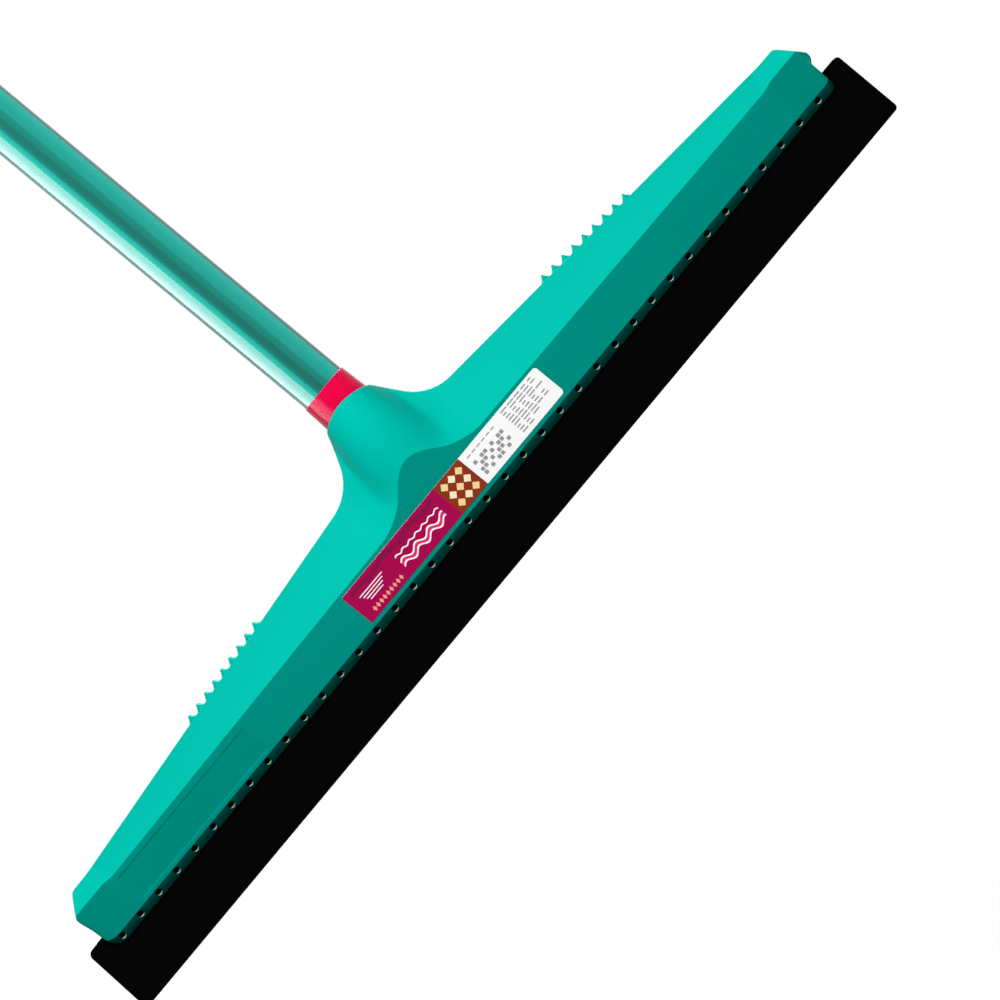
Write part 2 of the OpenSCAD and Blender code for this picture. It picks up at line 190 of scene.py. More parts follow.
def head_side(x):
    """One side of the head's section at x, from the lip's lower edge to the top, as depth and height."""
    far = abs(x)
    top = head_top(x)
    block = ease(*BLOCK_X, far)
    sweep = ARM_SWEEP * min(far / ARM_X, 1)
    rise = corner_cut(far, CORNER_LEFT if x < 0 else CORNER_RIGHT)
    trim = corner_cut(far, PLAN_R)
    # Face and roof meet at the crease, found in a few rounds because the swell changes with height.
    crease = CREASE_Z
    for _ in range(12):
        crease = CREASE_Z + (swell_at(x, crease) - sweep) / (FACE_LEAN + ROOF_LEAN)
    crease += BLOCK_RISE * block
    crease_y = BEVEL_Y + (crease - BEVEL_Z) * FACE_LEAN + BLOCK_PROUD * block
    crease = min(crease, top - TOP_EDGE_DROP)

    def roof(z):
        arm = CREASE_Y + swell_at(x, z) - sweep - (z - CREASE_Z) * ROOF_LEAN
        end = crease_y - (z - crease) * BLOCK_LEAN
        share = (z - crease) / (top - crease)
        sag = ROOF_SAG * (top - crease) * math.sin(math.pi * share) * ease(*SAG_X, far)
        return arm * (1 - block) + end * block - sag

    lip = (LIP_Y, LIP_Z + rise)
    bevel = (BEVEL_Y, BEVEL_Z + rise / 2)
    belly = [(y + BEVEL_BULGE * math.sin(math.pi * (z - lip[1]) / (bevel[1] - lip[1])), z)
             for y, z in between(lip, bevel, BELLY_STEPS)]
    fold = (crease_y, crease)
    face = between(bevel, fold, FACE_STEPS)
    edge = (roof(top), top)
    edge_r = TOP_EDGE_RIM_R + (TOP_EDGE_ARM_R - TOP_EDGE_RIM_R) * ease(*TOP_EDGE_X, far)
    climb = [(roof(z), z) for _, z in between(fold, edge, ROOF_STEPS)]
    points = [(0.0, lip[1]), lip, *belly, bevel, *face, fold, *climb, edge, (0.0, top)]
    radii = [0, LIP_R, *[0] * BELLY_STEPS, BEVEL_R, *[0] * FACE_STEPS, CREASE_R, *[0] * ROOF_STEPS,
             edge_r, 0]
    path = rounded(points, radii, ARC_STEPS)[1:-1]
    return [(y - trim * min(y / PLAN_FADE_Y, 1), z) for y, z in path]


def loft(sections, columns, shift):
    """A closed skin over mirrored sections along x: floor, front, top and rear, with gridded ends."""
    verts, faces = [], []
    rings = []
    for x, side in sections:
        count = len(side)
        floor = [((2 * k / columns - 1) * -side[0][0], side[0][1]) for k in range(columns)]
        top = [((2 * k / columns - 1) * side[-1][0], side[-1][1]) for k in range(columns)]
        ring = floor + [(-y, z) for y, z in side[:-1]] + top + [(y, z) for y, z in side[:0:-1]]
        rings.append(len(verts))
        verts += [(shift(x, z), y, z) for y, z in ring]
    size = 2 * columns + 2 * (count - 1)
    for a, b in zip(rings, rings[1:]):
        for k in range(size):
            n = (k + 1) % size
            faces.append((a + k, b + k, b + n, a + n))
    for end, ring, (x, side) in ((-1, rings[0], sections[0]), (1, rings[-1], sections[-1])):
        grid = []
        for j in range(count):
            row = []
            for k in range(columns + 1):
                if j == 0:
                    row.append(ring + (columns - k) % size)
                elif j == count - 1:
                    row.append(ring + columns + count - 1 + k)
                elif k == 0:
                    row.append(ring + columns + j)
                elif k == columns:
                    row.append(ring + (size - j) % size)
                else:
                    share = 2 * k / columns - 1
                    row.append(len(verts))
                    verts.append((shift(x, side[j][1]), side[j][0] * share, side[j][1]))
            grid.append(row)
        for j in range(count - 1):
            for k in range(columns):
                quad = (grid[j][k], grid[j][k + 1], grid[j + 1][k + 1], grid[j + 1][k])
                faces.append(quad if end > 0 else quad[::-1])
    return verts, faces


def smooth(mesh, sharp=32.0):
    """Shade a mesh smooth but for edges past an angle."""
    mesh.shade_smooth()
    mesh.set_sharp_from_angle(angle=math.radians(sharp))


def mesh_piece(name, verts, faces, sharp=32.0):
    """An object at the origin from points in millimetres, smooth but for edges past an angle."""
    mesh = bpy.data.meshes.new(name)
    mesh.from_pydata([(x / 1000, y / 1000, z / 1000) for x, y, z in verts], [], faces)
    mesh.update()
    smooth(mesh, sharp)
    piece = bpy.data.objects.new(name, mesh)
    bpy.context.scene.collection.objects.link(piece)
    return piece


def nosed(x, z):
    """x drawn out to the nose of its end, which fades out below on the left and is round on the right."""
    steep, corner = end_slope(x)
    slope = max((BLOCK_Z - z) / steep + corner - LIP_X, 0.0)
    if x < 0:
        reach = LIP_LEFT + (NOSE_LEFT - LIP_LEFT) * ease(*NOSE_LEFT_Z, z)
    else:
        reach = NOSE_X + math.sqrt(max(NOSE_R ** 2 - min(z - NOSE_Z, 0.0) ** 2, 0.0)) - LIP_X
        reach = -soft_min(-reach, LIP_SHORT, NOSE_SOFT)
    share = max((abs(x) - NOSE_FROM_X) / (LIP_X - NOSE_FROM_X), 0.0) ** 2
    return x + math.copysign(share, x) * min(reach, slope)


def stations(steps):
    """Places along the whole head from (end, spacing) steps counted out from its middle."""
    half = [0.0]
    for end, spacing in steps:
        count = max(round((end - half[-1]) / spacing), 1)
        start = half[-1]
        half += [start + (end - start) * (i + 1) / count for i in range(count)]
    return [-x for x in half[:0:-1]] + half


def linear(code):
    """Linear colour of an sRGB hex code."""
    parts = [int(code[i:i + 2], 16) / 255 for i in (1, 3, 5)]
    return tuple(c / 12.92 if c <= 0.04045 else ((c + 0.055) / 1.055) ** 2.4 for c in parts) + (1.0,)


def add_node(tree, kind, settings=None, inputs=None):
    """A node with its settings; each input is a value, a socket to link, or a list of sockets."""
    node = tree.nodes.new(kind)
    for key, value in (settings or {}).items():
        setattr(node, key, value)
    for key, value in (inputs or {}).items():
        for source in value if isinstance(value, list) else [value]:
            if isinstance(source, bpy.types.NodeSocket):
                tree.links.new(source, node.inputs[key])
            else:
                node.inputs[key].default_value = source
    return node


def new_material(name):
    """A material without nodes, and its tree."""
    material = bpy.data.materials.new(name)
    material.use_nodes = True
    material.node_tree.nodes.clear()
    return material, material.node_tree


def noise(tree, wide, detail=2.0, long=None):
    """Cloudy shares from 0 to 1 in the piece's own space, in patches so many mm wide and, along z, long."""
    place = add_node(tree, "ShaderNodeTexCoord")
    scaled = add_node(tree, "ShaderNodeVectorMath", {"operation": "MULTIPLY"},
                      {0: place.outputs["Object"], 1: (1000 / wide, 1000 / wide, 1000 / (long or wide))})
    cloud = add_node(tree, "ShaderNodeTexNoise", None,
                     {"Vector": scaled.outputs[0], "Scale": 1.0, "Detail": detail})
    return cloud.outputs["Fac"]


def mix(tree, share, first, second):
    """The first colour with a share of the second."""
    mixed = add_node(tree, "ShaderNodeMix", {"data_type": "RGBA"},
                     {"Factor": share, "A": first, "B": second})
    return mixed.outputs["Result"]


def bump(tree, strength, distance, height):
    """A fine relief that only turns the light."""
    relief = add_node(tree, "ShaderNodeBump", None,
                      {"Strength": strength, "Distance": distance, "Height": height})
    return relief.outputs["Normal"]


def end_material(tree, inputs):
    """Give a material's tree its shader and its output."""
    shader = add_node(tree, "ShaderNodeBsdfPrincipled", None, inputs)
    add_node(tree, "ShaderNodeOutputMaterial", None, {"Surface": shader.outputs["BSDF"]})


# Moulded polypropylene: satin, with a spark-eroded grain that is drawn coarser than it is so that it shows,
# faint flow shades through the wall, and painted light: a lighter tone up the socket's front.
FLOW_SIZE = 45.5
GRAIN_SIZE = 0.7
PAINTED_LIGHT_X = (20.0, 8.0)
PAINTED_LIGHT_Z = (72.0, 108.0)
teal, tree = new_material("polypropylene_moulded_teal")
flow = noise(tree, FLOW_SIZE)
tone = mix(tree, flow, linear("#008C7F"), linear("#009183"))
place = add_node(tree, "ShaderNodeTexCoord")
axes = add_node(tree, "ShaderNodeSeparateXYZ", None, {"Vector": place.outputs["Object"]})
aside = add_node(tree, "ShaderNodeMath", {"operation": "ABSOLUTE"}, {0: axes.outputs["X"]})
near = add_node(tree, "ShaderNodeMapRange", {"interpolation_type": "SMOOTHSTEP"},
                {"Value": aside.outputs[0], "From Min": PAINTED_LIGHT_X[0] / 1000, "From Max": PAINTED_LIGHT_X[1] / 1000})
risen = add_node(tree, "ShaderNodeMapRange", {"interpolation_type": "SMOOTHSTEP"},
                 {"Value": axes.outputs["Z"], "From Min": PAINTED_LIGHT_Z[0] / 1000, "From Max": PAINTED_LIGHT_Z[1] / 1000})
# Painted light: near the socket's axis and high up, the colour turns lighter to stand in for light on it.
painted_light = add_node(tree, "ShaderNodeMath", {"operation": "MULTIPLY"},
                 {0: near.outputs["Result"], 1: risen.outputs["Result"]})
tone = mix(tree, painted_light.outputs[0], tone, linear("#009789"))
grain = bump(tree, 0.06, 0.0002, noise(tree, GRAIN_SIZE))
shine = add_node(tree, "ShaderNodeMapRange", None, {"Value": flow, "To Min": 0.42, "To Max": 0.5})
end_material(tree, {"Base Color": tone, "Roughness": shine.outputs["Result"], "IOR": 1.49,
                    "Specular IOR Level": 0.04, "Specular Tint": linear("#00E6D2"), "Normal": grain})

head_places = stations([(46, 1.0), (226, 4.0), (248, 1.5), (254, 2.0), (259, 1.0), (263, 0.4),
                        (264, 0.125)])
head_verts, head_faces = loft([(x, head_side(x)) for x in head_places], 8, nosed)
head = mesh_piece("head_moulding", head_verts, head_faces)

# The hollow is left by a core in the mould: a wall's thickness under the skin, and down between the slots
# that grip the blades.
WALL = 2.7
SLOT_IN = 10.6
SLOT_OUT = 15.3
SLOT_TOP = 37.6
SEAT_Z = 101.0
CORE_FOOT_Z = 20.0
CORE_LEAD = 2.0


def core_side(x):
    """One side of the hollow under the roof at x, a wall's thickness inside the head's skin."""
    outer = head_side(min(abs(x), LIP_X - PLAN_R))
    crease = max(outer, key=lambda point: point[0])
    top = min(head_top(abs(x) + CORE_LEAD) - WALL, SEAT_Z - WALL)
    roof_y = min((abs(z - top), y) for y, z in outer[len(outer) // 2:])[1]
    slope_z = SLOT_TOP + WALL
    face_y = BEVEL_Y + (slope_z + WALL - BEVEL_Z) * FACE_LEAN
    fold_z = min(crease[1], top - 1)
    return [(SLOT_OUT, CORE_FOOT_Z), (SLOT_OUT, slope_z), (face_y - WALL, slope_z + WALL),
            (crease[0] - WALL, fold_z), (roof_y - WALL, top)]


core_places = stations([(46, 2.0), (234, 8.0), (261.6, 4.0)])
core_verts, core_faces = loft([(x, core_side(x)) for x in core_places], 2, lambda x, z: x)
core = mesh_piece("head_core", core_verts, core_faces)

# The mould's other features come from one tree, because they repeat along the head: cross ribs and two
# long walls that are left in the hollow, a boss for the socket's bore, the slots, and small round windows
# through both lips, square to the bevel. A shallow bare panel is sunk into the left half of the face.
RIB_COUNT = 9
RIB_PITCH = 27.0
RIB_THICK = 1.8
RIB_WIDE = 90.0
RIB_HIGH = 90.0
INNER_WALL_LONG = 526.0
INNER_WALL_HIGH = 16.8
INNER_WALL_Z = 38.5
BOSS_R = 12.5
BOSS_HIGH = 45.0
BORE_Z = 70.0
BORE_R = 10.1
SEAT_R = 14.15
HOLE_DEEP = 60.0
SLOT_LONG = 600.0
SLOT_DEEP = 40.0
WINDOW_COUNT = 39
WINDOW_PITCH = 13.4
WINDOW_SHIFT = -3.0
WINDOW_WIDE = 3.8
WINDOW_DEEP = 8.0
WINDOW_Z = 30.8
PANEL_X = -191.5
PANEL_Z = 42.0
PANEL_LONG = 92.0
PANEL_HIGH = 15.4
PANEL_DEEP = 0.25
PANEL_CUTTER = 2.0
PANEL_TILT = math.radians(1.3)
bevel_angle = math.atan2(BEVEL_Y - LIP_Y, BEVEL_Z - LIP_Z)
window_y = LIP_Y + (WINDOW_Z - LIP_Z) * math.tan(bevel_angle) + BEVEL_BULGE


def new_tree(name, sizes):
    """A tree that takes and gives geometry, with an input for each size, and a list of inputs and sizes."""
    tree = bpy.data.node_groups.new(name, "GeometryNodeTree")
    tree.interface.new_socket("Base", in_out="INPUT", socket_type="NodeSocketGeometry")
    tree.interface.new_socket("Result", in_out="OUTPUT", socket_type="NodeSocketGeometry")
    values = []
    for size_name, size in sizes.items():
        socket = tree.interface.new_socket(size_name, in_out="INPUT", socket_type="NodeSocketFloat")
        values.append((socket, size))
    return tree, values


def window_rows(tree, pitch, shift, shape):
    """A shape at every window of the front and the rear lip, turned square to the bevel, as two rows."""
    first = add_node(tree, "ShaderNodeMath", {"operation": "MULTIPLY_ADD"},
                     {0: pitch, 1: (1 - WINDOW_COUNT) / 2, 2: shift})
    step = add_node(tree, "ShaderNodeCombineXYZ", None, {"X": pitch})
    rows = []
    for side in (-1, 1):
        begin = add_node(tree, "ShaderNodeCombineXYZ", None,
                         {"X": first.outputs[0], "Y": side * window_y / 1000, "Z": WINDOW_Z / 1000})
        row = add_node(tree, "GeometryNodeMeshLine", {"mode": "OFFSET"},
                       {"Count": WINDOW_COUNT, "Start Location": begin.outputs[0],
                        "Offset": step.outputs[0]})
        placed = add_node(tree, "GeometryNodeInstanceOnPoints", None,
                          {"Points": row.outputs["Mesh"], "Instance": shape,
                           "Rotation": (math.pi / 2 - side * bevel_angle, 0, 0)})
        rows.append(placed.outputs["Instances"])
    return rows


def end_tree(tree, shapes, material):
    """Join a tree's shapes, make their instances real, set their material and give them out."""
    joined = add_node(tree, "GeometryNodeJoinGeometry", None, {"Geometry": shapes})
    solid = add_node(tree, "GeometryNodeRealizeInstances", None, {"Geometry": joined.outputs["Geometry"]})
    coloured = add_node(tree, "GeometryNodeSetMaterial", None,
                        {"Geometry": solid.outputs["Geometry"], "Material": material})
    add_node(tree, "NodeGroupOutput", None, {"Result": coloured.outputs["Geometry"]})


moulding, moulding_values = new_tree("head_moulding", {
    "Rib Pitch": RIB_PITCH / 1000, "Rib Thickness": RIB_THICK / 1000, "Window Pitch": WINDOW_PITCH / 1000,
    "Window Shift": WINDOW_SHIFT / 1000, "Window Diameter": WINDOW_WIDE / 1000})
core_socket = moulding.interface.new_socket("Core", in_out="INPUT", socket_type="NodeSocketObject")
given = add_node(moulding, "NodeGroupInput")


def mould_block(kind, sizes, at, turn=(0, 0, 0)):
    """A plain block of the mould, a cube or a cylinder, in its place in metres."""
    shape = add_node(moulding, kind, None, sizes)
    placed = add_node(moulding, "GeometryNodeTransform", None,
                      {"Geometry": shape.outputs["Mesh"], "Translation": at, "Rotation": turn})
    return placed.outputs["Geometry"]


hollow = add_node(moulding, "GeometryNodeObjectInfo", {"transform_space": "RELATIVE"},
                  {"Object": given.outputs["Core"]})
rib_step = add_node(moulding, "ShaderNodeCombineXYZ", None, {"X": given.outputs["Rib Pitch"]})
remains = []
for side in (-1, 1):
    start = add_node(moulding, "ShaderNodeVectorMath", {"operation": "SCALE"},
                     {0: rib_step.outputs[0], "Scale": float(side)})
    row = add_node(moulding, "GeometryNodeMeshLine", {"mode": "OFFSET"},
                   {"Count": RIB_COUNT, "Start Location": start.outputs[0], "Offset": start.outputs[0]})
    for half, low in ((RIB_WIDE / 2, SLOT_TOP), (SLOT_IN, BEVEL_Z)):
        span = add_node(moulding, "ShaderNodeCombineXYZ", None,
                        {"X": given.outputs["Rib Thickness"], "Y": 2 * half / 1000, "Z": RIB_HIGH / 1000})
        rib = mould_block("GeometryNodeMeshCube", {"Size": span.outputs[0]},
                          (0, 0, low / 1000 + RIB_HIGH / 2000))
        placed = add_node(moulding, "GeometryNodeInstanceOnPoints", None,
                          {"Points": row.outputs["Mesh"], "Instance": rib})
        ribs = add_node(moulding, "GeometryNodeRealizeInstances", None,
                        {"Geometry": placed.outputs["Instances"]})
        remains.append(ribs.outputs["Geometry"])
for side in (-1, 1):
    remains.append(mould_block("GeometryNodeMeshCube",
                               {"Size": (INNER_WALL_LONG / 1000, WALL / 1000, INNER_WALL_HIGH / 1000)},
                               (0, side * (SLOT_IN - WALL / 2) / 1000, INNER_WALL_Z / 1000)))
remains.append(mould_block("GeometryNodeMeshCylinder",
                           {"Vertices": 64, "Radius": BOSS_R / 1000, "Depth": BOSS_HIGH / 1000},
                           (0, 0, (BORE_Z - WALL) / 1000 + BOSS_HIGH / 2000)))
carved = add_node(moulding, "GeometryNodeMeshBoolean", {"operation": "DIFFERENCE", "solver": "MANIFOLD"},
                  {"Mesh 1": hollow.outputs["Geometry"], "Mesh 2": remains})
cuts = [carved.outputs["Mesh"]]
window_r = add_node(moulding, "ShaderNodeMath", {"operation": "MULTIPLY"},
                    {0: given.outputs["Window Diameter"], 1: 0.5})
drill = add_node(moulding, "GeometryNodeMeshCylinder", None,
                 {"Vertices": 24, "Radius": window_r.outputs[0], "Depth": WINDOW_DEEP / 1000})
windows = window_rows(moulding, given.outputs["Window Pitch"], given.outputs["Window Shift"],
                      drill.outputs["Mesh"])
for side, row in zip((-1, 1), windows):
    drills = add_node(moulding, "GeometryNodeRealizeInstances", None, {"Geometry": row})
    slot = mould_block("GeometryNodeMeshCube",
                       {"Size": (SLOT_LONG / 1000, (SLOT_OUT - SLOT_IN) / 1000, SLOT_DEEP / 1000)},
                       (0, side * (SLOT_OUT + SLOT_IN) / 2000, SLOT_TOP / 1000 - SLOT_DEEP / 2000))
    cuts += [drills.outputs["Geometry"], slot]
panel_out = (PANEL_CUTTER / 2 - PANEL_DEEP) * math.cos(FACE_ANGLE)
panel_y = BEVEL_Y + (PANEL_Z - BEVEL_Z) * FACE_LEAN + panel_out
cuts.append(mould_block("GeometryNodeMeshCube",
                        {"Size": (PANEL_LONG / 1000, PANEL_CUTTER / 1000, PANEL_HIGH / 1000)},
                        (PANEL_X / 1000, -panel_y / 1000, PANEL_Z / 1000),
                        (FACE_ANGLE + PANEL_TILT, 0, 0)))
for hole_r, low in ((BORE_R, BORE_Z), (SEAT_R, SEAT_Z)):
    cuts.append(mould_block("GeometryNodeMeshCylinder",
                            {"Vertices": 96, "Radius": hole_r / 1000, "Depth": HOLE_DEEP / 1000},
                            (0, 0, low / 1000 + HOLE_DEEP / 2000)))
drilled = add_node(moulding, "GeometryNodeMeshBoolean", {"operation": "DIFFERENCE", "solver": "MANIFOLD"},
                   {"Mesh 1": given.outputs["Base"], "Mesh 2": cuts})
end_tree(moulding, [drilled.outputs["Mesh"]], teal)


def grow(piece, tree, values):
    """Run a tree on a piece and keep its result as the piece's plain mesh."""
    modifier = piece.modifiers.new(tree.name, "NODES")
    modifier.node_group = tree
    for socket, value in values:
        modifier[socket.identifier] = value
    bpy.context.view_layer.update()
    mesh = bpy.data.meshes.new_from_object(piece.evaluated_get(bpy.context.evaluated_depsgraph_get()))
    piece.modifiers.remove(modifier)
    piece.data = mesh
    smooth(mesh)


grow(head, moulding, [(core_socket, core)] + moulding_values)
bpy.data.objects.remove(core)
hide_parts("head")
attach(head, "head")

# Beads at the windows: a thin crescent at each window's lower rim, coloured pale as a painted highlight
# that stands in for light glinting on the rims.
GLINT_BEAD_R = 1.75
GLINT_BEAD_THICK = 0.42
GLINT_BEAD_FROM = math.radians(212)
GLINT_BEAD_SWEEP = math.radians(122)
GLINT_BEAD_TAPER = 0.85

# Painted highlight: matt and pale, in cloudy patches that are drawn coarser than the glint.
GLINT_PATCH_SIZE = 1.4
glint_paint, tree = new_material("polypropylene_painted_highlight")
# Painted highlight: pale colours for the glint of light on the windows' lower rims.
glint_colour = mix(tree, noise(tree, GLINT_PATCH_SIZE), linear("#647F73"), linear("#90A89C"))
end_material(tree, {"Base Color": glint_colour, "Roughness": 0.6})

glint_tree, glint_values = new_tree("window_flash", {
    "Pitch": WINDOW_PITCH / 1000, "Shift": WINDOW_SHIFT / 1000, "Radius": GLINT_BEAD_R / 1000,
    "Thickness": GLINT_BEAD_THICK / 1000})
given = add_node(glint_tree, "NodeGroupInput")
arc = add_node(glint_tree, "GeometryNodeCurveArc", {"mode": "RADIUS"},
               {"Resolution": 12, "Radius": given.outputs["Radius"], "Start Angle": GLINT_BEAD_FROM,
                "Sweep Angle": GLINT_BEAD_SWEEP})
share = add_node(glint_tree, "GeometryNodeSplineParameter")
swing = add_node(glint_tree, "ShaderNodeMath", {"operation": "MULTIPLY"},
                 {0: share.outputs["Factor"], 1: math.pi})
bow = add_node(glint_tree, "ShaderNodeMath", {"operation": "SINE"}, {0: swing.outputs[0]})
taper = add_node(glint_tree, "ShaderNodeMath", {"operation": "MULTIPLY_ADD"},
                 {0: bow.outputs[0], 1: GLINT_BEAD_TAPER, 2: 1 - GLINT_BEAD_TAPER})
ring = add_node(glint_tree, "GeometryNodeCurvePrimitiveCircle", None,
                {"Resolution": 8, "Radius": given.outputs["Thickness"]})
crescent = add_node(glint_tree, "GeometryNodeCurveToMesh", None,
                    {"Curve": arc.outputs["Curve"], "Profile Curve": ring.outputs["Curve"],
                     "Scale": taper.outputs[0], "Fill Caps": True})
glint_rows = window_rows(glint_tree, given.outputs["Pitch"], given.outputs["Shift"],
                         crescent.outputs["Mesh"])
end_tree(glint_tree, glint_rows, glint_paint)
glint_beads = mesh_piece("window_flash", [], [])
grow(glint_beads, glint_tree, glint_values)
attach(glint_beads, "head")

# Cloth teeth: nine low ribs across the top of each arm that hold a floor cloth, moulded with the head.
# Each has hollow flanks, slanted ends and a narrow round tip, so that cloth is caught but lifts off again.
TOOTH_H = 3.0
TOOTH_FOOT = 5.6
TOOTH_TIP = 0.8
TOOTH_LONG = 11.0
TOOTH_SINK = 1.0
TOOTH_HOLLOW = 1.4
TOOTH_TIP_HIGH = 0.4
TOOTH_TIP_TURNS = (0.6, 1.2, 1.57, 1.94, 2.54)
TOOTH_ENDS = ((2.0, 0.0), (1.6, 0.1), (0.0, 3.2))
TEETH_COUNT = 9
TEETH_X = 133.0
TEETH_PITCH = 6.7


def skin(rings, wrap=False):
    """A closed skin over rings of points: capped at both ends, or joined from the last to the first."""
    size = len(rings[0])
    verts = [point for ring in rings for point in ring]
    faces = []
    for i in range(len(rings) if wrap else len(rings) - 1):
        a = i * size
        b = (i + 1) % len(rings) * size
        faces += [(a + k, b + k, b + (k + 1) % size, a + (k + 1) % size) for k in range(size)]
    if not wrap:
        faces += [tuple(range(size)), tuple(range(len(verts) - 1, len(verts) - size - 1, -1))]
    return verts, faces


def tooth_ring(y, drop):
    """Outline of a tooth at one depth, lowered by the rounding of its ends."""
    flank = []
    for i in range(12):
        t = i / 12
        half = TOOTH_TIP / 2 + (TOOTH_FOOT - TOOTH_TIP) / 2 * (1 - t) ** TOOTH_HOLLOW
        flank.append((half, TOOTH_H * t))
    crown = [(TOOTH_TIP / 2 * math.cos(a), TOOTH_H + TOOTH_TIP_HIGH * (math.sin(a) - 0.5))
             for a in TOOTH_TIP_TURNS]
    right = [(TOOTH_FOOT / 2, -TOOTH_SINK)] + flank
    left = [(-x, z) for x, z in right[::-1]]
    return [(x, y, z - drop) for x, z in right + crown + left]


ends = [(TOOTH_LONG / 2 - inset, drop) for inset, drop in TOOTH_ENDS]
ends = [(-y, drop) for y, drop in ends[::-1]] + ends
tooth = mesh_piece("tooth", *skin([tooth_ring(y, drop) for y, drop in ends]), sharp=50)
row_tree, row_values = new_tree("cloth_teeth", {"Pitch": TEETH_PITCH / 1000})
tooth_socket = row_tree.interface.new_socket("Tooth", in_out="INPUT", socket_type="NodeSocketObject")
count_socket = row_tree.interface.new_socket("Count", in_out="INPUT", socket_type="NodeSocketInt")
given = add_node(row_tree, "NodeGroupInput")
single = add_node(row_tree, "GeometryNodeObjectInfo", {"transform_space": "RELATIVE"},
                  {"Object": given.outputs["Tooth"]})
fall = math.atan(RIDGE_FALL)
rows = []
for side in (-1, 1):
    along = add_node(row_tree, "ShaderNodeVectorMath", {"operation": "SCALE"},
                     {0: (side * math.cos(fall), 0, -math.sin(fall)), "Scale": given.outputs["Pitch"]})
    centre = Vector((side * TEETH_X, 0, RIDGE_Z - TEETH_X * RIDGE_FALL)) / 1000
    back = add_node(row_tree, "ShaderNodeVectorMath", {"operation": "MULTIPLY_ADD"},
                    {0: along.outputs[0], 1: ((1 - TEETH_COUNT) / 2,) * 3, 2: centre})
    line = add_node(row_tree, "GeometryNodeMeshLine", {"mode": "OFFSET"},
                    {"Count": given.outputs["Count"], "Start Location": back.outputs[0],
                     "Offset": along.outputs[0]})
    placed = add_node(row_tree, "GeometryNodeInstanceOnPoints", None,
                      {"Points": line.outputs["Mesh"], "Instance": single.outputs["Geometry"],
                       "Rotation": (0, side * fall, 0)})
    rows.append(placed.outputs["Instances"])
end_tree(row_tree, rows, teal)
teeth = mesh_piece("cloth_teeth", [], [])
grow(teeth, row_tree, [(tooth_socket, tooth), (count_socket, TEETH_COUNT)] + row_values)
bpy.data.objects.remove(tooth)
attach(teeth, "head")

# The blades: two strips of closed-cell EVA foam, skived to 4.5 mm and pushed into the head's slots from
# the end. They stand past the head at both ends, and their corners are rounded by the knife.
BLADE_X = 275.0
BLADE_IN = 10.7
BLADE_OUT = 15.2
BLADE_TOP = 37.5
BLADE_LEFT_R = 3.0
BLADE_RIGHT_R = 2.2
BLADE_SHIFT = -1.6
BLADE_SKEW = 0.045
BLADE_SKEW_X = 255.0
BLADE_EDGE_R = 0.3
BLADE_END_THIN = 0.25
BLADE_END_LONG = 0.5
BLADE_SWAYS = ((0.15, 41.0, 0.0), (0.1, 17.0, 1.0))

# Closed-cell foam: dull black, with pores that break the light up, drawn coarser than they are so that they
# show, and cloudy shades.
PORE_SIZE = 0.67
CLOUD_SIZE = 16.7
foam, tree = new_material("eva_foam_black")
place = add_node(tree, "ShaderNodeTexCoord")
pores = add_node(tree, "ShaderNodeTexVoronoi", {"feature": "F1"},
                 {"Vector": place.outputs["Object"], "Scale": 1000 / PORE_SIZE})
shade = mix(tree, noise(tree, CLOUD_SIZE), linear("#010101"), linear("#020202"))
end_material(tree, {"Base Color": shade, "Roughness": 0.92, "Specular IOR Level": 0.02,
                    "Normal": bump(tree, 0.35, 0.0003, pores.outputs["Distance"])})


def round_box(u0, v0, u1, v1, radius, steps=5):
    """Outline of a rectangle whose round corners have one radius, or a list of four."""
    corners = [(u0, v0), (u1, v0), (u1, v1), (u0, v1)]
    radii = radius if isinstance(radius, list) else [radius] * 4
    return rounded([corners[-1]] + corners + [corners[0]], [0] + radii + [0], steps)[1:-1]


def blade_ring(x, side):
    """Section of a blade at x: a flat strip with soft edges, drawn in where its ends are rounded."""
    radius = BLADE_LEFT_R if x < 0 else BLADE_RIGHT_R
    near = max(abs(x) - (BLADE_X - radius), 0.0)
    trim = radius - math.sqrt(max(radius ** 2 - near ** 2, 0.0))
    thin = BLADE_END_THIN * ease(BLADE_X - BLADE_END_LONG, BLADE_X, abs(x))
    path = round_box(BLADE_IN + thin, trim, BLADE_OUT - thin, BLADE_TOP - trim, BLADE_EDGE_R, 3)
    sway = sum(size * math.sin(x / length + start) for size, length, start in BLADE_SWAYS)
    skew = BLADE_SKEW * ease(BLADE_SKEW_X, BLADE_X, -x)
    ring = [(x + BLADE_SHIFT + skew * (z - BLADE_TOP / 2), side * (y + sway * ease(LIP_Z, 0, z)), z)
            for y, z in path]
    return ring if side > 0 else ring[::-1]


blade_places = stations([(271, 6.0), (274, 0.3), (274.8, 0.1), (275, 0.04)])
for name, side in (("front_blade", -1), ("rear_blade", 1)):
    blade = mesh_piece(name + "_strip", *skin([blade_ring(x, side)[::-1] for x in blade_places]))
    blade.data.materials.append(foam)
    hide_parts(name)
    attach(blade, "head")

# The label: a paper sticker with round corners, printed in colours and varnished, stuck on the head's front
# face. The print is a plain pattern of waves, bars, lozenges and squares on three coloured fields.
LABEL_LONG = 141.0
LABEL_HIGH = 18.6
LABEL_X = 1.8
LABEL_Z = 43.9
LABEL_R = 2.0
LABEL_LEFT_R = 0.6
MAGENTA_END = -4.0
BROWN_END = 14.5
PAPER_TOP = 0.1
FIELD_TOP = 0.11
SHADE_TOP = 0.115
PRINT_TOP = 0.12
OVERPRINT_TOP = 0.123


